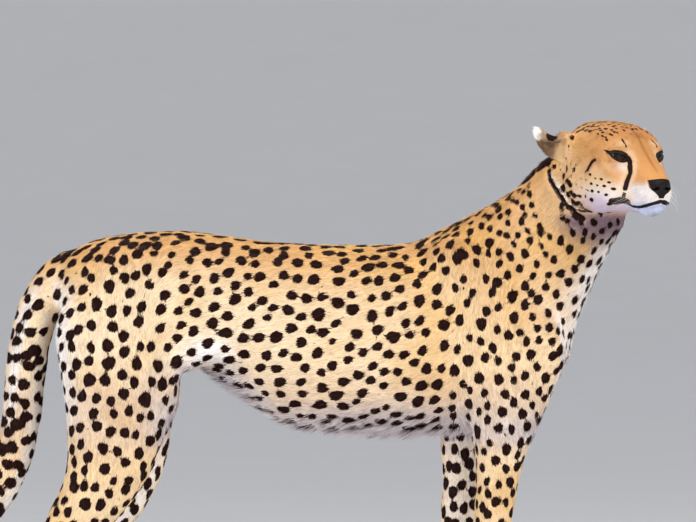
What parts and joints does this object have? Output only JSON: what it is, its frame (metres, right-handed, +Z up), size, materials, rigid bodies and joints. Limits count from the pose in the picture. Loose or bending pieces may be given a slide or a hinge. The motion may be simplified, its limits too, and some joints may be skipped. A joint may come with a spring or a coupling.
{
  "type": "cheetah",
  "caption": "Life-size still cheetah standing on four paws, head turned to its right, tail hanging behind and curling up at its end.",
  "frame": {"origin": "on the floor, under the middle of the animal's box", "axes": "+X the way the body faces, +Y the animal's left, +Z up"},
  "size_m": [1.346, 0.297, 0.9422],
  "materials": {
    "coat": "short golden fur with near-black solid spots",
    "eye": "wet, dark amber iris with a round black pupil",
    "claw": "horn, dark brown",
    "whisker": "white stiff hair"
  },
  "bodies": {
    "root": {"belly": "coat", "chest": "coat", "ear_left": "coat", "ear_right": "coat", "eye_left": "eye", "eye_right": "eye", "foreleg_left_forearm": "coat", "foreleg_left_paw": "coat", "foreleg_left_wrist": "coat", "foreleg_right_forearm": "coat", "foreleg_right_paw": "coat", "foreleg_right_wrist": "coat", "head": "coat", "hindleg_left_metatarsus": "coat", "hindleg_left_paw": "coat", "hindleg_left_shank": "coat", "hindleg_left_thigh": "coat", "hindleg_right_metatarsus": "coat", "hindleg_right_paw": "coat", "hindleg_right_shank": "coat", "hindleg_right_thigh": "coat", "neck": "coat", "rump": "coat", "tail_1": "coat", "tail_2": "coat", "tail_3": "coat", "tail_4": "coat", "tail_5": "coat"}
  },
  "joints": []
}
